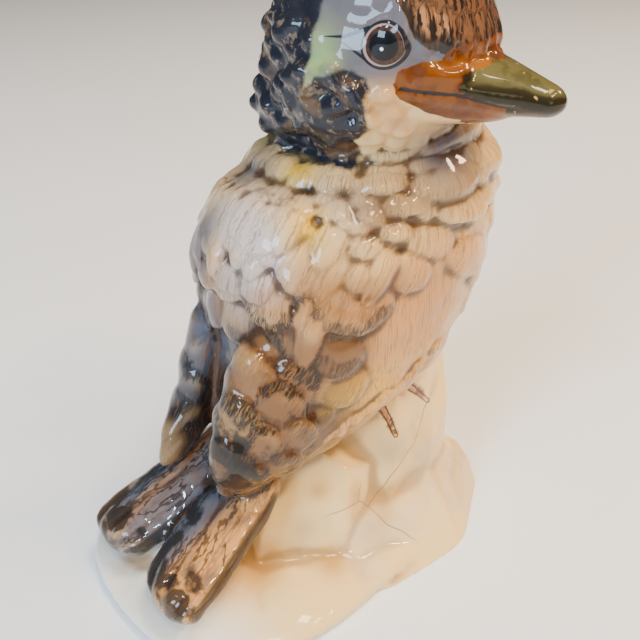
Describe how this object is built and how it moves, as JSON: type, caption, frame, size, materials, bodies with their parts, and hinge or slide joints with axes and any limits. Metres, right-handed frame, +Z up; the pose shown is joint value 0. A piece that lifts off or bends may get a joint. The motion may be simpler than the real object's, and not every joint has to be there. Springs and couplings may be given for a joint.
{
  "type": "porcelain bird figurine",
  "caption": "Glazed porcelain figurine of a young big-billed bird looking over its right shoulder, perched on a faceted rock plinth.",
  "frame": {"origin": "middle of the plinth's flat underside, on the table", "axes": "+Z up, +X along the plinth from the tail end to the breast end, +Y to the figure's left"},
  "size_m": [0.1333, 0.0954, 0.1796],
  "materials": {
    "glazed_porcelain": "high-gloss clear glaze over hand painting"
  },
  "bodies": {
    "root": {"porcelain_bird": "glazed_porcelain"}
  },
  "joints": []
}
